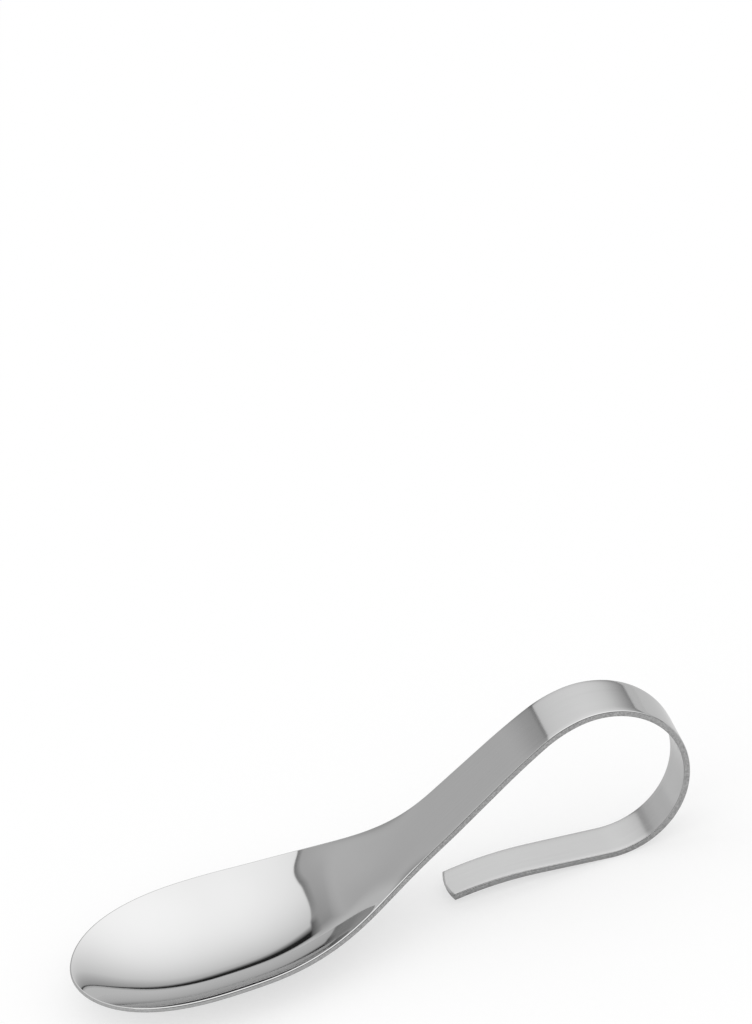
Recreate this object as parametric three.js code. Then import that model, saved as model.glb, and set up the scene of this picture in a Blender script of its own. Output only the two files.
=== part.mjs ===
// Tasting spoon with a curled handle, pressed and bent from one strip of stainless steel.
// Millimetres, +Z up, tip of the bowl towards -X, finger loop towards +X, mirror plane at Y = 0.
// The spoon stands on the flat under its bowl and on the lowest point of its loop, both at Z = 0.

import * as THREE from 'three';
import { mergeVertices } from 'three/addons/utils/BufferGeometryUtils.js';

const { degToRad, smoothstep, lerp } = THREE.MathUtils;

// Bowl: outline seen from above, hollow and wall; a fullness of 2 would make the tip a paraboloid
const bowlWidth = 41.7;
const tipToWidest = 27.7;
const tipRoundness = 6.7;
const cheekRoundness = 22.6;
const flankRoundness = 30.5;
const bowlDepth = 7.1;
const tipFullness = 2.3;
const bowlWall = 0.9;
const soleFlat = 0.2;

// Strip: widths along the metal, and its thickness
const tipToNeckEnd = 80.7;
const neckRoundness = 19.2;
const neckWidth = 16.1;
const taperLength = 69.7;
const tailWidth = 10.2;
const tailEndWidth = 9.2;
const tailEndBulge = 0.7;
const handleThickness = 1.4;

// Bends, measured on the face that is the inside of the bowl and the outside of the loop
const levelRim = 36.4;
const neckRadius = 83.8;
const handleSlope = degToRad(31.9);
const easeRadius = 159;
const easeTurn = degToRad(4);
const shoulderRadius = 26.2;
const shoulderTurn = degToRad(18.1);
const loopRadius = 18;
const tailLift = degToRad(5.8);
const tailStraight = 14.7;
const tailRadius = 74;
const tailTurn = degToRad(14.4);

// Fineness of the faceted surface, and how close two points are when they count as one
const stationStep = 2;
const stepsAcross = 16;
const samePoint = 1e-5;

// The rim stands as high as the hollow and the wall under it, less what the flat sole takes off
const rimHeight = bowlDepth + bowlWall - soleFlat;

// The straight of the handle is as long as it takes for the loop to come down to the table
const shoulderSlope = handleSlope - easeTurn;
const loopEntrySlope = shoulderSlope - shoulderTurn;
const loopEntryHeight = loopRadius * (1 + Math.cos(loopEntrySlope));
const shoulderRise = shoulderRadius * (Math.cos(loopEntrySlope) - Math.cos(shoulderSlope));
const easeRise = easeRadius * (Math.cos(shoulderSlope) - Math.cos(handleSlope));
const neckRise = neckRadius * (1 - Math.cos(handleSlope));
const straightRise = loopEntryHeight - shoulderRise - easeRise - neckRise - rimHeight;
const handleStraight = straightRise / Math.sin(handleSlope);

// The loop goes right round until the tail points back at the bowl, rising by the tail's lift
const loopTurn = Math.PI + loopEntrySlope + tailLift;

// Bends in order from the tip: a positive turn bends upwards, a negative one over the top
const straight = (length) => ({ length, turn: 0 });
const arc = (radius, turn) => ({ length: radius * Math.abs(turn), turn });
const bends = [
  straight(levelRim),
  arc(neckRadius, handleSlope),
  straight(handleStraight),
  arc(easeRadius, -easeTurn),
  arc(shoulderRadius, -shoulderTurn),
  arc(loopRadius, -loopTurn),
  straight(tailStraight),
  arc(tailRadius, tailTurn),
];
const metalLength = bends.reduce((sum, bend) => sum + bend.length, 0);

// Place and slope of the face at a distance along the metal from the tip
function faceAt(distance) {
  let left = distance;
  let x = 0;
  let z = rimHeight;
  let slope = 0;
  for (const { length, turn } of bends) {
    const run = Math.min(left, length);
    const swing = (turn * run) / length;
    const half = swing / 2;
    const chord = swing === 0 ? run : (run * Math.sin(half)) / half;
    x += chord * Math.cos(slope + half);
    z += chord * Math.sin(slope + half);
    slope += swing;
    left -= run;
  }
  return { x, z, slope };
}

// Half outline of the flat blank: distance along the metal in x, half width in y
function blankOutline() {
  const taperEnd = tipToNeckEnd + taperLength;
  const taperRate = (neckWidth - tailWidth) / 2 / taperLength;
  const endRadius = ((tailEndWidth / 2) ** 2 + tailEndBulge ** 2) / (2 * tailEndBulge);
  const endCorner = Math.asin(tailEndWidth / 2 / endRadius);
  const outline = new THREE.Path();
  outline.moveTo(0, 0);
  outline.bezierCurveTo(
    0, tipRoundness,
    tipToWidest - cheekRoundness, bowlWidth / 2,
    tipToWidest, bowlWidth / 2,
  );
  outline.bezierCurveTo(
    tipToWidest + flankRoundness, bowlWidth / 2,
    tipToNeckEnd - neckRoundness, neckWidth / 2 + taperRate * neckRoundness,
    tipToNeckEnd, neckWidth / 2,
  );
  outline.lineTo(taperEnd, tailWidth / 2);
  outline.lineTo(metalLength - tailEndBulge, tailEndWidth / 2);
  outline.absarc(metalLength - endRadius, 0, endRadius, endCorner, 0, true);
  return outline;
}

// Points of the half outline at which the section of the metal is drawn
function stationsAlong(outline) {
  const stations = [new THREE.Vector2(0, 0)];
  for (const curve of outline.curves) {
    const count = Math.ceil(curve.getLength() / stationStep);
    const points = curve.getSpacedPoints(count);
    const next = points.filter((point) => point.distanceTo(stations.at(-1)) > samePoint);
    stations.push(...next);
  }
  stations.at(-1).y = 0;
  return stations;
}

// Depth of the hollow at the middle, growing from the tip and running out into the neck
function hollowAt(distance, halfWidth) {
  if (distance <= tipToWidest) {
    return bowlDepth * (halfWidth / (bowlWidth / 2)) ** tipFullness;
  }
  if (distance >= tipToNeckEnd) {
    return 0;
  }
  const widest = (bowlWidth / 2) ** 2;
  const neck = (neckWidth / 2) ** 2;
  return (bowlDepth * (halfWidth ** 2 - neck)) / (widest - neck);
}

// One closed section: the upper face from right to left, then the lower face back
function sectionAt({ x: distance, y: halfWidth }) {
  const face = faceAt(distance);
  const hollow = hollowAt(distance, halfWidth);
  const thickening = smoothstep(distance, tipToWidest, tipToNeckEnd);
  const thickness = lerp(bowlWall, handleThickness, thickening);
  const upper = [];
  const lower = [];
  for (let step = 0; step <= stepsAcross; step += 1) {
    const across = (2 * step) / stepsAcross - 1;
    const sink = hollow * (1 - across ** 2);
    const wallSlope = halfWidth > 0 ? (2 * hollow * across) / halfWidth : 0;
    const depth = sink + thickness * Math.hypot(1, wallSlope);
    const pointAt = (below) => new THREE.Vector3(
      face.x + below * Math.sin(face.slope),
      halfWidth * across,
      Math.max(face.z - below * Math.cos(face.slope), 0),
    );
    upper.push(pointAt(sink));
    lower.unshift(pointAt(depth));
  }
  return [...upper, ...lower];
}

// Skin over the sections; both ends run out to one short edge, so they close by themselves
function loft(sections) {
  const around = sections[0].length;
  const positions = sections.flat().flatMap((point) => point.toArray());
  const index = [];
  for (let ring = 0; ring + 1 < sections.length; ring += 1) {
    for (let side = 0; side < around; side += 1) {
      const a = ring * around + side;
      const b = ring * around + ((side + 1) % around);
      index.push(a, a + around, b, b, a + around, b + around);
    }
  }
  const geometry = new THREE.BufferGeometry();
  geometry.setAttribute('position', new THREE.Float32BufferAttribute(positions, 3));
  geometry.setIndex(index);
  const merged = mergeVertices(geometry, samePoint);
  const kept = [];
  for (let i = 0; i < merged.index.count; i += 3) {
    const [a, b, c] = merged.index.array.slice(i, i + 3);
    if (a !== b && b !== c && c !== a) {
      kept.push(a, b, c);
    }
  }
  merged.setIndex(kept);
  merged.computeVertexNormals();
  return merged;
}

const polishedSteel = new THREE.MeshStandardMaterial({
  color: 0xc9c9c7,
  roughness: 0.12,
  metalness: 1,
});

const spoonGeometry = loft(stationsAlong(blankOutline()).map(sectionAt));
const spoon = new THREE.Mesh(spoonGeometry, polishedSteel);
spoon.name = 'spoon';

// The origin is on the table, midway between the tip and the far side of the loop
const toEase = levelRim + neckRadius * handleSlope + handleStraight;
const loopEntry = faceAt(toEase + easeRadius * easeTurn + shoulderRadius * shoulderTurn);
const loopFarSide = loopEntry.x + loopRadius * Math.sin(loopEntrySlope) + loopRadius;
spoon.position.x = -loopFarSide / 2;

const tastingSpoon = new THREE.Group();
tastingSpoon.add(spoon);

export default tastingSpoon;
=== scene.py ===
import math

import bpy
from mathutils import Matrix, Vector


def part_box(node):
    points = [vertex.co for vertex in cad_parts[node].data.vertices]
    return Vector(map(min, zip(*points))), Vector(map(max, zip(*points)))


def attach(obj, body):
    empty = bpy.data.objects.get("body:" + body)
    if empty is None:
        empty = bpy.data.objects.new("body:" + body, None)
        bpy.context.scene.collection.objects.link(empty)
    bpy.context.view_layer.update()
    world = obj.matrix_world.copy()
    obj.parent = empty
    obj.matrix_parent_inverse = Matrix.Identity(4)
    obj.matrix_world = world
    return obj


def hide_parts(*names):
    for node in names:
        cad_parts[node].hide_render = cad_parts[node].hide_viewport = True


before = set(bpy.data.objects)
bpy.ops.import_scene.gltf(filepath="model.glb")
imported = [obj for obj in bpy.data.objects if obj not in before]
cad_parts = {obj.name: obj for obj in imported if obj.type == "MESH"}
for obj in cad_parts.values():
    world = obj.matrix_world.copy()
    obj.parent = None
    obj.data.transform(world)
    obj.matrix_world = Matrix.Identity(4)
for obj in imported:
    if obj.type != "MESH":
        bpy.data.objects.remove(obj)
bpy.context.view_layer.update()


# The spoon: one strip of stainless sheet, punched out flat, pressed hollow at one end and bent.
# Bowl, neck, handle, finger loop and tail are all this one piece; the bowl is drawn thinner.
# It is tumbled and buffed: its faces roll off a little at the cut edge, which stays duller.
MM = 0.001

# Sheet, hollow of the bowl and flat outline; a tip fullness of 2 would make the tip a paraboloid
SHEET_GAUGE = 1.4 * MM
BOWL_WALL = 0.9 * MM
BOWL_WIDTH = 41.7 * MM
BOWL_DEPTH = 7.1 * MM
TIP_FULLNESS = 2.3
SOLE_FLAT = 0.2 * MM
TIP_TO_WIDEST = 27.7 * MM
TIP_ROUNDNESS = 6.7 * MM
CHEEK_ROUNDNESS = 22.6 * MM
FLANK_ROUNDNESS = 30.5 * MM
TIP_TO_NECK_END = 80.7 * MM
NECK_ROUNDNESS = 19.2 * MM
NECK_WIDTH = 16.1 * MM
TAPER_LENGTH = 69.7 * MM
TAIL_WIDTH = 10.2 * MM
TAIL_END_WIDTH = 9.2 * MM
TAIL_END_BULGE = 0.7 * MM

# Tumbled edges: their radius on the rim, where the neck ends and on the tail, and the faces' roll-off
RIM_ROUND = 0.4 * MM
EDGE_ROUND = 0.25 * MM
TAIL_ROUND = 0.32 * MM
ROLL_WIDTH = 1.8 * MM
ROLL_DEPTH = 0.07 * MM

# Bends from the tip to the tail, measured on the face that is inside the bowl and outside the loop
LEVEL_RIM = 36.4 * MM
NECK_RADIUS = 83.8 * MM
HANDLE_SLOPE = math.radians(31.9)
EASE_RADIUS = 159 * MM
EASE_TURN = math.radians(4)
SHOULDER_RADIUS = 26.2 * MM
SHOULDER_TURN = math.radians(18.1)
LOOP_RADIUS = 18 * MM
TAIL_LIFT = math.radians(5.8)
TAIL_STRAIGHT = 14.7 * MM
TAIL_RADIUS = 74 * MM
TAIL_TURN = math.radians(14.4)

# The straight of the handle is as long as it takes for the loop to come down to the table
rim_height = BOWL_DEPTH + BOWL_WALL - SOLE_FLAT
shoulder_slope = HANDLE_SLOPE - EASE_TURN
loop_entry_slope = shoulder_slope - SHOULDER_TURN
loop_turn = math.pi + loop_entry_slope + TAIL_LIFT
loop_entry_height = LOOP_RADIUS * (1 + math.cos(loop_entry_slope))
shoulder_rise = SHOULDER_RADIUS * (math.cos(loop_entry_slope) - math.cos(shoulder_slope))
ease_rise = EASE_RADIUS * (math.cos(shoulder_slope) - math.cos(HANDLE_SLOPE))
neck_rise = NECK_RADIUS * (1 - math.cos(HANDLE_SLOPE))
straight_rise = loop_entry_height - shoulder_rise - ease_rise - neck_rise - rim_height
bends = [
    ("Level Rim", LEVEL_RIM, 0.0),
    ("Neck", NECK_RADIUS * HANDLE_SLOPE, HANDLE_SLOPE),
    ("Handle", straight_rise / math.sin(HANDLE_SLOPE), 0.0),
    ("Ease", EASE_RADIUS * EASE_TURN, -EASE_TURN),
    ("Shoulder", SHOULDER_RADIUS * SHOULDER_TURN, -SHOULDER_TURN),
    ("Loop", LOOP_RADIUS * loop_turn, -loop_turn),
    ("Tail Straight", TAIL_STRAIGHT, 0.0),
    ("Tail", TAIL_RADIUS * TAIL_TURN, TAIL_TURN),
]
metal_length = sum(length for _, length, _ in bends)

# Fineness of the mesh; in the formulas its two ends keep a little width, and points this close are merged
STEPS_TO_WIDEST = 90
STEPS_TO_NECK = 110
STEPS_ROUND_TAIL = 12
STRIP_STEP = 0.5 * MM
STEPS_ACROSS = 44
EDGE_STEPS = 4
LEAST_HALF_WIDTH = 0.0025 * MM
SAME_POINT = 0.0001 * MM


def bezier(start, pull_start, pull_end, end, steps):
    """Points of a cubic curve, without its first point."""
    corners = [Vector(point) for point in (start, pull_start, pull_end, end)]
    points = []
    for step in range(1, steps + 1):
        t = step / steps
        weights = ((1 - t) ** 3, 3 * t * (1 - t) ** 2, 3 * t * t * (1 - t), t ** 3)
        points.append(sum((w * c for w, c in zip(weights, corners)), Vector((0, 0))))
    return points


def half_outline():
    """The blank's half outline as (distance along, half width), from mid tip to mid tail end."""
    taper_rate = (NECK_WIDTH - TAIL_WIDTH) / 2 / TAPER_LENGTH
    end_radius = ((TAIL_END_WIDTH / 2) ** 2 + TAIL_END_BULGE ** 2) / (2 * TAIL_END_BULGE)
    end_corner = math.asin(TAIL_END_WIDTH / 2 / end_radius)
    points = [Vector((0, 0))]
    points += bezier(
        (0, 0),
        (0, TIP_ROUNDNESS),
        (TIP_TO_WIDEST - CHEEK_ROUNDNESS, BOWL_WIDTH / 2),
        (TIP_TO_WIDEST, BOWL_WIDTH / 2),
        STEPS_TO_WIDEST,
    )
    points += bezier(
        (TIP_TO_WIDEST, BOWL_WIDTH / 2),
        (TIP_TO_WIDEST + FLANK_ROUNDNESS, BOWL_WIDTH / 2),
        (TIP_TO_NECK_END - NECK_ROUNDNESS, NECK_WIDTH / 2 + taper_rate * NECK_ROUNDNESS),
        (TIP_TO_NECK_END, NECK_WIDTH / 2),
        STEPS_TO_NECK,
    )
    strip_corners = [
        Vector((TIP_TO_NECK_END, NECK_WIDTH / 2)),
        Vector((TIP_TO_NECK_END + TAPER_LENGTH, TAIL_WIDTH / 2)),
        Vector((metal_length - TAIL_END_BULGE, TAIL_END_WIDTH / 2)),
    ]
    for start, end in zip(strip_corners, strip_corners[1:]):
        steps = round((end.x - start.x) / STRIP_STEP)
        points += [start.lerp(end, step / steps) for step in range(1, steps + 1)]
    end_middle = Vector((metal_length - end_radius, 0))
    for step in range(1, STEPS_ROUND_TAIL + 1):
        angle = end_corner * (1 - step / STEPS_ROUND_TAIL)
        points.append(end_middle + end_radius * Vector((math.cos(angle), math.sin(angle))))
    return points


def edge_rounding(distance):
    """Radius of the tumbled edge: widest on the rim and on the tail, least where the neck ends."""
    if distance < TIP_TO_NECK_END:
        neck_part = max((distance - TIP_TO_WIDEST) / (TIP_TO_NECK_END - TIP_TO_WIDEST), 0)
        return RIM_ROUND + (EDGE_ROUND - RIM_ROUND) * neck_part
    strip_part = (distance - TIP_TO_NECK_END) / (metal_length - TIP_TO_NECK_END)
    return EDGE_ROUND + (TAIL_ROUND - EDGE_ROUND) * strip_part


def cut_blank():
    """Closed mesh of the flat blank, upper face at z = 0, with what press and finish need to know."""
    outline = half_outline()
    last = len(outline) - 1
    # Places across a face, closer together towards its edges, and round the two corners of an edge
    shares = [math.sin(math.pi * (step / STEPS_ACROSS - 0.5)) for step in range(STEPS_ACROSS + 1)]
    quarter = [math.pi / 2 * step / EDGE_STEPS for step in range(EDGE_STEPS + 1)]
    outs = [math.sin(angle) for angle in quarter[1:]] + [math.cos(angle) for angle in quarter[:-1]]
    upper_drops = [1 - math.cos(angle) for angle in quarter[1:]]
    places = []
    half_widths = []
    face_half_widths = []
    edge_distances = []
    edge_shares = []
    for number, point in enumerate(outline):
        if number == 0:
            outward = Vector((-1, 0))
        elif number == last:
            outward = Vector((1, 0))
        else:
            before = (point - outline[number - 1]).normalized()
            after = (outline[number + 1] - point).normalized()
            # Longer at a corner, so that the rounding is as wide on both sides of it
            turned_out = before + after
            outward = Vector((-turned_out.y, turned_out.x)) / (1 + before.dot(after))
        rounding = edge_rounding(point.x)
        inset = point - rounding * outward
        inset.y = max(inset.y, 0)
        top = [(inset.x, inset.y * share, 0.0) for share in shares]
        drops = upper_drops + [SHEET_GAUGE / rounding - drop for drop in reversed(upper_drops)]
        edge = []
        for out, drop in zip(outs, drops):
            place = inset + rounding * out * outward
            edge.append((place.x, max(place.y, 0), -rounding * drop))
        bottom = [(x, -y, -SHEET_GAUGE) for x, y, _ in top]
        other_edge = [(x, -y, z) for x, y, z in reversed(edge)]
        section = top + edge + bottom + other_edge
        face = [0.0] * len(top)
        places += section
        half_widths += [max(point.y, LEAST_HALF_WIDTH)] * len(section)
        face_half_widths += [max(inset.y, LEAST_HALF_WIDTH)] * len(section)
        edge_distances += [max(point.y - abs(y), 0) for _, y, _ in section]
        edge_shares += face + outs + face + outs[::-1]
    around = len(places) // len(outline)
    faces = []
    for number in range(last):
        for side in range(around):
            a = number * around + side
            b = number * around + (side + 1) % around
            faces.append((a, a + around, b + around, b))
    mesh = bpy.data.meshes.new("blank")
    mesh.from_pydata(places, [], faces)
    kept = {
        "half_width": half_widths,
        "face_half_width": face_half_widths,
        "edge_distance": edge_distances,
        "cut_edge": edge_shares,
    }
    for name, numbers in kept.items():
        mesh.attributes.new(name, "FLOAT", "POINT").data.foreach_set("value", numbers)
    flat_place = mesh.attributes.new("flat_place", "FLOAT_VECTOR", "POINT")
    flat_place.data.foreach_set("vector", [number for place in places for number in place])
    return mesh


class Value:
    """One output in a node tree. Sums, products and powers of values add Math nodes to that tree."""

    def __init__(self, tree, socket):
        self.tree = tree
        self.socket = socket

    def node(self, kind, inputs, settings=None, output=0):
        """Adds a node, sets it, feeds its sockets with numbers or links, and gives one output."""
        made = self.tree.nodes.new(kind)
        for name, setting in (settings or {}).items():
            setattr(made, name, setting)
        for key, fed in inputs.items():
            if isinstance(fed, Value):
                self.tree.links.new(fed.socket, made.inputs[key])
            else:
                made.inputs[key].default_value = fed
        return Value(self.tree, made.outputs[output])

    def math(self, operation, *others):
        """This value and the others, put through one operation."""
        inputs = dict(enumerate((self, *others)))
        return self.node("ShaderNodeMath", inputs, {"operation": operation})

    def ramp(self, start, end, low=0.0, high=1.0, easing="LINEAR"):
        """Goes from low to high while this value goes from start to end, and stays there beyond."""
        inputs = {"Value": self, "From Min": start, "From Max": end, "To Min": low, "To Max": high}
        return self.node("ShaderNodeMapRange", inputs, {"interpolation_type": easing})

    def grey(self):
        """This value as a colour."""
        return self.node("ShaderNodeCombineColor", {0: self, 1: self, 2: self})

    def __add__(self, other):
        return self.math("ADD", other)

    __radd__ = __add__

    def __mul__(self, other):
        return self.math("MULTIPLY", other)

    __rmul__ = __mul__

    def __sub__(self, other):
        return self.math("SUBTRACT", other)

    def __rsub__(self, other):
        return self * -1 + other

    def __truediv__(self, other):
        return self.math("DIVIDE", other)

    def __pow__(self, other):
        return self.math("POWER", other)


# The press hollows the bowl, the tumbler rolls the edges off, and the jig bends the strip
press = bpy.data.node_groups.new("press_and_bend", "GeometryNodeTree")
press.interface.new_socket(name="Blank", in_out="INPUT", socket_type="NodeSocketGeometry")
press_sizes = {
    "Sheet Gauge": SHEET_GAUGE,
    "Bowl Wall": BOWL_WALL,
    "Bowl Depth": BOWL_DEPTH,
    "Bowl Width": BOWL_WIDTH,
    "Tip Fullness": TIP_FULLNESS,
    "Neck Width": NECK_WIDTH,
    "Tip To Widest": TIP_TO_WIDEST,
    "Tip To Neck End": TIP_TO_NECK_END,
    "Roll Width": ROLL_WIDTH,
    "Roll Depth": ROLL_DEPTH,
    "Rim Height": rim_height,
    "Tip Place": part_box("spoon")[0].x,
}
for name, length, turn in bends:
    press_sizes[name + " Length"] = length
    if turn:
        press_sizes[name + " Turn"] = turn
for name in press_sizes:
    press.interface.new_socket(name=name, in_out="INPUT", socket_type="NodeSocketFloat")
press.interface.new_socket(name="Finish", in_out="INPUT", socket_type="NodeSocketMaterial")
press.interface.new_socket(name="Spoon", in_out="OUTPUT", socket_type="NodeSocketGeometry")
entry = press.nodes.new("NodeGroupInput")
size = {name: Value(press, entry.outputs[name]) for name in press_sizes}
blank = Value(press, entry.outputs["Blank"])
position = blank.node("GeometryNodeInputPosition", {})
along, across, through = (
    position.node("ShaderNodeSeparateXYZ", {0: position}, output=axis)
    for axis in range(3)
)
half_width, face_half_width, edge_distance = (
    blank.node("GeometryNodeInputNamedAttribute", {"Name": name}, {"data_type": "FLOAT"})
    for name in ("half_width", "face_half_width", "edge_distance")
)

# Depth of the hollow at the middle, growing from the tip and running out into the neck
neck_square = (size["Neck Width"] / 2) ** 2
widest_square = (size["Bowl Width"] / 2) ** 2
tip_share = (half_width / (size["Bowl Width"] / 2)) ** size["Tip Fullness"]
above_neck = half_width ** 2 - neck_square
neck_share = (above_neck / (widest_square - neck_square)).math("MAXIMUM", 0.0)
before_widest = along.math("LESS_THAN", size["Tip To Widest"])
before_neck_end = along.math("LESS_THAN", size["Tip To Neck End"])
hollow_share = neck_share * before_neck_end + (tip_share - neck_share) * before_widest
hollow = size["Bowl Depth"] * hollow_share
share = (across / face_half_width).math("MAXIMUM", -1.0).math("MINIMUM", 1.0)
sink = hollow * (1 - share ** 2)

# Wall, rolled off on both faces towards the edge
wall_slope = 2 * hollow * share / half_width
thickening = along.ramp(size["Tip To Widest"], size["Tip To Neck End"], easing="SMOOTHSTEP")
thickness = size["Bowl Wall"] + (size["Sheet Gauge"] - size["Bowl Wall"]) * thickening
near_edge = (1 - edge_distance / size["Roll Width"]).math("MAXIMUM", 0.0)
roll = size["Roll Depth"] * thickening * near_edge ** 3
depth_share = -1 * through / size["Sheet Gauge"]
depth_in_wall = depth_share * thickness + roll * (1 - 2 * depth_share)
below = sink + depth_in_wall * (1 + wall_slope ** 2).math("SQRT")

# Place and slope of the face after each bend in turn
place_x = size["Tip Place"] + along.math("MINIMUM", 0.0)
place_z = size["Rim Height"]
slope = along * 0
remaining = along
for name, _, turn in bends:
    run = remaining.math("MAXIMUM", 0.0).math("MINIMUM", size[name + " Length"])
    chord = run
    middle_slope = slope
    if turn:
        swing = size[name + " Turn"] * (run / size[name + " Length"])
        bend_radius = size[name + " Length"] / size[name + " Turn"]
        chord = 2 * bend_radius * (swing / 2).math("SINE")
        middle_slope = slope + swing / 2
        slope = slope + swing
    place_x = place_x + chord * middle_slope.math("COSINE")
    place_z = place_z + chord * middle_slope.math("SINE")
    remaining = remaining - run
bent_x = place_x + below * slope.math("SINE")
bent_z = (place_z - below * slope.math("COSINE")).math("MAXIMUM", 0.0)
bent = blank.node("ShaderNodeCombineXYZ", {0: bent_x, 1: across, 2: bent_z})
shaped = blank.node("GeometryNodeSetPosition", {"Geometry": blank, "Position": bent})
closed = blank.node("GeometryNodeMergeByDistance", {"Geometry": shaped, "Distance": SAME_POINT})
smooth = blank.node("GeometryNodeSetShadeSmooth", {"Geometry": closed})
realized = blank.node("GeometryNodeRealizeInstances", {"Geometry": smooth})
finish = Value(press, entry.outputs["Finish"])
finished = blank.node("GeometryNodeSetMaterial", {"Geometry": realized, "Material": finish})
leave = press.nodes.new("NodeGroupOutput")
press.links.new(finished.socket, leave.inputs["Spoon"])

# Bare stainless steel: mirror bright in the bowl, satin on the strip with fine lines left by the belt.
# The wheel doesn't reach inside the loop, so that face is coarser. The cut edge is dull and grainy.
STEEL_BRIGHTNESS = 0.56
GRAZING_TINT = (0.95, 0.95, 0.95, 1)
MIRROR_END = 62 * MM
SATIN_START = 95 * MM
MIRROR_ROUGHNESS = 0.05
SATIN_ROUGHNESS = 0.02
BELT_ROUGHNESS = 0.05
BELT_SHADE = 0.04
BELT_LINES_ALONG = 45
BELT_LINES_ACROSS = 1800
INNER_FACE_ROUGHNESS = 0.1
INNER_FACE_FROM = -0.6 * SHEET_GAUGE
INNER_FACE_FULL = -0.9 * SHEET_GAUGE
HAZE_SCALE = 90
HAZE_ROUGHNESS = 0.02
HAZE_SHADE = 0.02
CUT_FROM = 0.6
CUT_FULL = 0.9
RIM_CUT_SHARE = 0.6
RIM_CUT_END = 30 * MM
STRIP_CUT_START = 58 * MM
CUT_ROUGHNESS = 0.15
CUT_SHADE = 0.03
GRAIN_SCALE = 2500
GRAIN_LOW = 0.3
GRAIN_HIGH = 0.7
GRAIN_ROUGHNESS = 0.1
GRAIN_SHADE = 0.2
GRAIN_RELIEF = 4
RELIEF_STRENGTH = 0.3
RELIEF_HEIGHT = 0.004 * MM
NOISE_MIDDLE = 0.5
steel = bpy.data.materials.new("polished_steel")
steel.use_nodes = True
steel_nodes = steel.node_tree
steel_shader = steel_nodes.nodes["Principled BSDF"]
steel_shader.inputs["Metallic"].default_value = 1.0
steel_shader.inputs["Specular Tint"].default_value = GRAZING_TINT
flat_place = Value(steel_nodes, steel_nodes.nodes.new("ShaderNodeAttribute").outputs["Vector"])
flat_place.socket.node.attribute_name = "flat_place"
cut_edge = flat_place.node("ShaderNodeAttribute", {}, {"attribute_name": "cut_edge"}, output="Fac")
along_metal, across_metal, through_metal = (
    flat_place.node("ShaderNodeSeparateXYZ", {0: flat_place}, output=axis)
    for axis in range(3)
)
stretched = {0: along_metal * BELT_LINES_ALONG, 1: across_metal * BELT_LINES_ACROSS}
belt_place = flat_place.node("ShaderNodeCombineXYZ", stretched)
belt_inputs = {"Vector": belt_place, "Scale": 1.0, "Detail": 3.0}
haze_inputs = {"Vector": flat_place, "Scale": HAZE_SCALE, "Detail": 2.0}
grain_inputs = {"Vector": flat_place, "Scale": GRAIN_SCALE, "Detail": 2.0}
belt_lines, haze, grain = (
    flat_place.node("ShaderNodeTexNoise", inputs)
    for inputs in (belt_inputs, haze_inputs, grain_inputs)
)
pits = grain.ramp(GRAIN_LOW, GRAIN_HIGH)
satin = along_metal.ramp(MIRROR_END, SATIN_START, easing="SMOOTHSTEP")
cut_share = along_metal.ramp(RIM_CUT_END, STRIP_CUT_START, RIM_CUT_SHARE, 1.0)
raw_cut = cut_edge.ramp(CUT_FROM, CUT_FULL) * cut_share
inner_face = through_metal.ramp(INNER_FACE_FROM, INNER_FACE_FULL)
satin_roughness = SATIN_ROUGHNESS + BELT_ROUGHNESS * belt_lines + INNER_FACE_ROUGHNESS * inner_face
face_roughness = MIRROR_ROUGHNESS + satin * satin_roughness + HAZE_ROUGHNESS * (haze - NOISE_MIDDLE)
roughness = face_roughness + raw_cut * (CUT_ROUGHNESS + GRAIN_ROUGHNESS * pits)
steel_nodes.links.new(roughness.socket, steel_shader.inputs["Roughness"])
hazy = STEEL_BRIGHTNESS + HAZE_SHADE * (haze - NOISE_MIDDLE)
lined = hazy + BELT_SHADE * satin * (belt_lines - NOISE_MIDDLE)
brightness = lined - raw_cut * (CUT_SHADE + GRAIN_SHADE * pits)
steel_nodes.links.new(brightness.grey().socket, steel_shader.inputs["Base Color"])
relief = satin * belt_lines + GRAIN_RELIEF * raw_cut * grain
bump_inputs = {"Strength": RELIEF_STRENGTH, "Distance": RELIEF_HEIGHT, "Height": relief}
bump = relief.node("ShaderNodeBump", bump_inputs)
steel_nodes.links.new(bump.socket, steel_shader.inputs["Normal"])

rough_blank = bpy.data.objects.new("blank", cut_blank())
bpy.context.scene.collection.objects.link(rough_blank)
jig = rough_blank.modifiers.new("press_and_bend", "NODES")
jig.node_group = press
for item in press.interface.items_tree:
    if item.in_out == "INPUT" and item.name in press_sizes:
        jig[item.identifier] = press_sizes[item.name]
    if item.name == "Finish":
        jig[item.identifier] = steel
evaluated = rough_blank.evaluated_get(bpy.context.evaluated_depsgraph_get())
spoon = bpy.data.objects.new("spoon_steel", bpy.data.meshes.new_from_object(evaluated))
bpy.context.scene.collection.objects.link(spoon)
bpy.data.objects.remove(rough_blank)
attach(spoon, "root")
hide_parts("spoon")


# The floor: a plain white table top under the spoon, painted matt, which takes its soft shadow.
# Part of its white is given as glow, so that the shadow stays faint for the camera.
# The steel mirrors the floor a little greyer, with a deeper shadow.
FLOOR_REACH = 8.0
FLOOR_COLOUR = 0.9
SHADOW_SHARE = 0.4
MIRRORED_WHITE = 0.8
MIRRORED_SHADOW_SHARE = 0.85
floor_corners = [
    (-FLOOR_REACH, -FLOOR_REACH, 0),
    (FLOOR_REACH, -FLOOR_REACH, 0),
    (FLOOR_REACH, FLOOR_REACH, 0),
    (-FLOOR_REACH, FLOOR_REACH, 0),
]
floor_mesh = bpy.data.meshes.new("floor")
floor_mesh.from_pydata(floor_corners, [], [(0, 1, 2, 3)])
floor_paint = bpy.data.materials.new("white_table")
floor_paint.use_nodes = True
floor_nodes = floor_paint.node_tree
floor_shader = floor_nodes.nodes["Principled BSDF"]
floor_shader.inputs["Roughness"].default_value = 1.0
floor_shader.inputs["Specular IOR Level"].default_value = 0.0
floor_shader.inputs["Emission Strength"].default_value = 1.0
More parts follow.
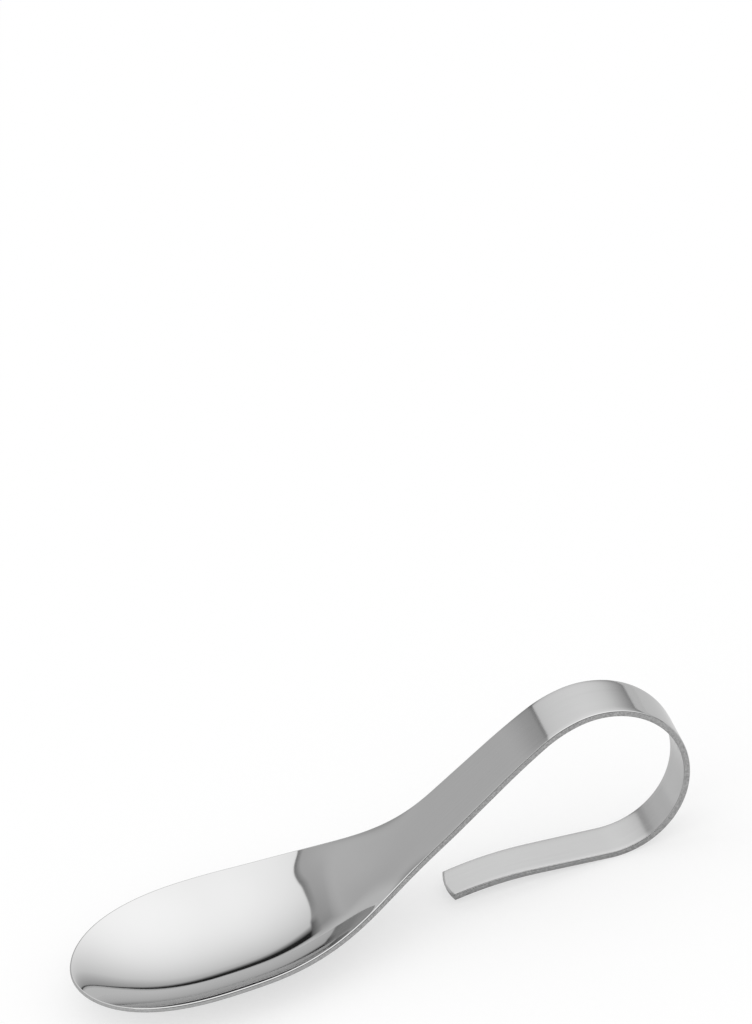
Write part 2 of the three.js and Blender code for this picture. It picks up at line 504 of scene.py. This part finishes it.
light_path = floor_nodes.nodes.new("ShaderNodeLightPath")
camera_ray, glossy_ray, transmission_ray = (
    Value(floor_nodes, light_path.outputs[name])
    for name in ("Is Camera Ray", "Is Glossy Ray", "Is Transmission Ray")
)
mirrored = (glossy_ray + transmission_ray).math("MINIMUM", 1.0)
mirrored_paint = MIRRORED_WHITE * MIRRORED_SHADOW_SHARE
camera_change = camera_ray * (SHADOW_SHARE - FLOOR_COLOUR)
mirrored_change = mirrored * (mirrored_paint - FLOOR_COLOUR)
floor_white = FLOOR_COLOUR + (camera_change + mirrored_change)
floor_nodes.links.new(floor_white.grey().socket, floor_shader.inputs["Base Color"])
floor_glow = camera_ray * (1 - SHADOW_SHARE) + mirrored * (MIRRORED_WHITE - mirrored_paint)
floor_nodes.links.new(floor_glow.grey().socket, floor_shader.inputs["Emission Color"])
floor_mesh.materials.append(floor_paint)
floor = bpy.data.objects.new("floor", floor_mesh)
bpy.context.scene.collection.objects.link(floor)


# The light tent: a dome over the table, whose white cloth glows most overhead and on the right.
# The cloth ends in a dark frame on the left and low down; beyond the frame is a grey wall.
# Only the polished steel sees it: the camera looks in through it, and the background lights the table.
TENT_RADIUS = 1.1
TENT_SEGMENTS = 64
TENT_RINGS = 32

# Places on the tent are shares of its radius, to the right, behind and upwards; a glow of 1 is white
SOFT_LINE = 0.005

# Left edge of the cloth: it leans and bows with height, and hooks round towards the front
LEFT_START = -0.164
LEFT_LEAN = 1.218
LEFT_BOW = 0.601
LEFT_LOW_START = 0.097
LEFT_LOW_LEAN = 0.4
LEFT_HOOK_START = 0.38
LEFT_HOOK_REACH = 0.5
LEFT_HOOK_IN = 1.55
LEFT_HOOK_OUT = 5.25

# Left frame: it fades into the wall, and is darker towards the top and at its foot
LEFT_FRAME_FADE = 0.045
LEFT_FRAME_LOW_GLOW = 0.84
LEFT_FRAME_TOP_GLOW = -0.69
LEFT_FRAME_FOOT_SHADE = 0.3
LEFT_FRAME_FOOT_START = 0.3
LEFT_FRAME_FOOT_END = 0.22

# Low frame: it sinks on the right, and grows thicker towards the left
LOW_FRAME_FOOT = 0.255
LOW_FRAME_DROP = 0.3
LOW_FRAME_DROP_START = 0.3
LOW_FRAME_TAPER = 0.2
LOW_FRAME_END = 0.45
LOW_FRAME_THIN = 0.01
FRAME_GLOW = 0.02

# Wall: shaded beside the left frame, bright low down and under the low frame, even at the horizon
WALL_LOW_GLOW = 0.62
WALL_TOP_GLOW = 0.27
WALL_SHADE_LOW_GLOW = 0.29
WALL_SHADE_TOP_GLOW = 0.37
WALL_SHADE_START = -0.03
WALL_SHADE_END = -0.3
LOW_WALL_GLOW = 0.8
LOW_WALL_START = 0.35
LOW_WALL_END = 0.12
LOW_WALL_REACH = 0.4
LOW_WALL_FULL = 0.1
LOW_WALL_SLANT = 2.0
LOW_WALL_SLANT_START = -0.3
LOW_WALL_SLANT_END = -0.4
LOW_WALL_SLANT_SHARE = 0.75
LOW_WALL_SLANT_REACH = 0.22
LOW_WALL_SHADE_WIDTH = 0.04
HORIZON_GLOW = 0.74
HORIZON_WIDTH = 0.25

# Cloth: its glow grows with height and to the right, and is less at the hem and towards the front
CLOTH_LOW_GLOW = 0.32
CLOTH_TOP_GLOW = 1.2
CLOTH_SIDE_GLOW = 0.42
CLOTH_LEFT_SHARE = 0.4
CLOTH_HEM_SHADE = 0.64
CLOTH_HEM_WIDTH = 0.22
CLOTH_HEM_START = 0.7
CLOTH_HEM_END = 1.5
FRONT_SHADE = 0.28
FRONT_START = -0.3
FRONT_END = -0.5

tent_places = [(0.0, 0.0, TENT_RADIUS)]
for ring in range(1, TENT_RINGS + 1):
    height_angle = math.pi / 2 * (1 - ring / TENT_RINGS)
    reach = TENT_RADIUS * math.cos(height_angle)
    ring_height = TENT_RADIUS * math.sin(height_angle)
    for segment in range(TENT_SEGMENTS):
        turn = 2 * math.pi * segment / TENT_SEGMENTS
        tent_places.append((reach * math.cos(turn), reach * math.sin(turn), ring_height))
tent_faces = []
for segment in range(TENT_SEGMENTS):
    beside = (segment + 1) % TENT_SEGMENTS
    tent_faces.append((0, 1 + beside, 1 + segment))
    for ring in range(TENT_RINGS - 1):
        upper = 1 + ring * TENT_SEGMENTS
        lower = upper + TENT_SEGMENTS
        tent_faces.append((upper + segment, upper + beside, lower + beside, lower + segment))
tent_mesh = bpy.data.meshes.new("light_tent")
tent_mesh.from_pydata(tent_places, [], tent_faces)
cloth = bpy.data.materials.new("tent_cloth")
cloth.use_nodes = True
cloth.cycles.emission_sampling = "NONE"
cloth_nodes = cloth.node_tree
cloth_nodes.nodes.remove(cloth_nodes.nodes["Principled BSDF"])
place = Value(cloth_nodes, cloth_nodes.nodes.new("ShaderNodeTexCoord").outputs["Object"])
direction = place.node("ShaderNodeVectorMath", {0: place}, {"operation": "NORMALIZE"})
right, behind, height = (
    direction.node("ShaderNodeSeparateXYZ", {0: direction}, output=axis)
    for axis in range(3)
)

# How far a place lies inside the left edge and above the foot of the low frame
past_hook = (LEFT_HOOK_START - behind).math("MAXIMUM", 0.0).math("MINIMUM", LEFT_HOOK_REACH)
hook = past_hook * past_hook * (LEFT_HOOK_OUT * past_hook - LEFT_HOOK_IN)
left_edge = LEFT_START + height * (LEFT_LEAN - LEFT_BOW * height)
low_left_edge = LEFT_LOW_START + LEFT_LOW_LEAN * height
from_left = right + left_edge.math("MAXIMUM", low_left_edge) + hook
foot_drop = LOW_FRAME_DROP * (right - LOW_FRAME_DROP_START).math("MAXIMUM", 0.0)
within_low = height - LOW_FRAME_FOOT + foot_drop

# Glow of the frame, and where it covers the wall
low_frame_width = (LOW_FRAME_TAPER * (LOW_FRAME_END - right)).math("MAXIMUM", LOW_FRAME_THIN)
foot_shade = within_low.ramp(LEFT_FRAME_FOOT_END, LEFT_FRAME_FOOT_START, LEFT_FRAME_FOOT_SHADE, 1.0)
left_frame_glow = foot_shade * (LEFT_FRAME_LOW_GLOW + LEFT_FRAME_TOP_GLOW * height)
frame_glow = from_left.ramp(-SOFT_LINE, SOFT_LINE, left_frame_glow, FRAME_GLOW)
frame_cover = from_left.ramp(-LEFT_FRAME_FADE, -SOFT_LINE) * within_low.ramp(-SOFT_LINE, SOFT_LINE)

# Glow of the wall
shaded_glow = WALL_SHADE_LOW_GLOW + WALL_SHADE_TOP_GLOW * height
bright_glow = WALL_LOW_GLOW + WALL_TOP_GLOW * height
left_wall_glow = from_left.ramp(
    WALL_SHADE_START, WALL_SHADE_END, shaded_glow, bright_glow, easing="SMOOTHSTEP"
)
level_top = height.ramp(LOW_WALL_START, LOW_WALL_END)
level_wall = level_top * from_left.ramp(-LOW_WALL_REACH, -LOW_WALL_FULL)
slanted = height + LOW_WALL_SLANT * right
slanted_top = slanted.ramp(LOW_WALL_SLANT_START, LOW_WALL_SLANT_END, 0.0, LOW_WALL_SLANT_SHARE)
slanted_wall = slanted_top * from_left.ramp(-LOW_WALL_SLANT_REACH, -LOW_WALL_FULL)
under_frame = within_low.ramp(0.0, -LOW_WALL_SHADE_WIDTH) * from_left.ramp(-LOW_WALL_FULL, 0.0)
low_wall = level_wall.math("MAXIMUM", slanted_wall).math("MAXIMUM", under_frame)
wall_glow = left_wall_glow + low_wall * (LOW_WALL_GLOW - left_wall_glow)
wall_glow = wall_glow + height.ramp(HORIZON_WIDTH, 0.0) * (HORIZON_GLOW - wall_glow)

# Glow of the cloth, and where it covers the frame
sideways = right.math("MAXIMUM", CLOTH_LEFT_SHARE * right)
cloth_glow = CLOTH_LOW_GLOW + height * (CLOTH_TOP_GLOW + CLOTH_SIDE_GLOW * sideways)
cloth_glow = cloth_glow * within_low.ramp(0.0, CLOTH_HEM_WIDTH, CLOTH_HEM_SHADE, 1.0)
cloth_glow = cloth_glow * behind.ramp(FRONT_END, FRONT_START, FRONT_SHADE, 1.0)
above_frame = (within_low / low_frame_width).ramp(CLOTH_HEM_START, CLOTH_HEM_END)
cloth_cover = from_left.ramp(-SOFT_LINE, SOFT_LINE) * above_frame

outer_glow = wall_glow + frame_cover * (frame_glow - wall_glow)
tent_glow = outer_glow + cloth_cover * (cloth_glow - outer_glow)
shine = tent_glow.node("ShaderNodeEmission", {"Color": tent_glow.grey()})
cloth_nodes.links.new(shine.socket, cloth_nodes.nodes["Material Output"].inputs["Surface"])
tent_mesh.materials.append(cloth)
tent = bpy.data.objects.new("light_tent", tent_mesh)
tent.visible_camera = False
tent.visible_diffuse = False
tent.visible_shadow = False
bpy.context.scene.collection.objects.link(tent)


# The background: plain white all round, with no edge or corner.
# It lights the table evenly, and the camera sees it beyond the table.
world = bpy.data.worlds.new("white_background")
world.use_nodes = True
world.node_tree.nodes["Background"].inputs["Color"].default_value = (1, 1, 1, 1)
bpy.context.scene.world = world
bpy.context.scene.view_settings.view_transform = "Standard"


# The camera: a long lens from the front and above, at the photograph's viewing angle.
# It is rolled a little, and moved up so that the spoon lies low in the picture.
AZIMUTH = math.radians(-7.49)
ELEVATION = math.radians(32.47)
ROLL = math.radians(12.79)
DISTANCE = 1.33
PIXELS_PER_METRE = 5000.0
IMAGE_HEIGHT = 1024
LOOK_AT = Vector((-0.253 * MM, 0, 15 * MM))
CAMERA_RIGHT = 0.285 * MM
CAMERA_UP = 68.29 * MM
back = Vector((
    math.sin(AZIMUTH) * math.cos(ELEVATION),
    -math.cos(AZIMUTH) * math.cos(ELEVATION),
    math.sin(ELEVATION),
))
level_right = Vector((math.cos(AZIMUTH), math.sin(AZIMUTH), 0))
level_up = back.cross(level_right)
view_right = level_right * math.cos(ROLL) - level_up * math.sin(ROLL)
view_up = level_right * math.sin(ROLL) + level_up * math.cos(ROLL)
camera_data = bpy.data.cameras.new("camera")
camera_data.sensor_width = 36
camera_data.lens = camera_data.sensor_width * PIXELS_PER_METRE * DISTANCE / IMAGE_HEIGHT
camera = bpy.data.objects.new("camera", camera_data)
turned = Matrix((view_right, view_up, back)).transposed().to_4x4()
turned.translation = LOOK_AT + back * DISTANCE + view_right * CAMERA_RIGHT + view_up * CAMERA_UP
camera.matrix_world = turned
bpy.context.scene.collection.objects.link(camera)
bpy.context.scene.camera = camera
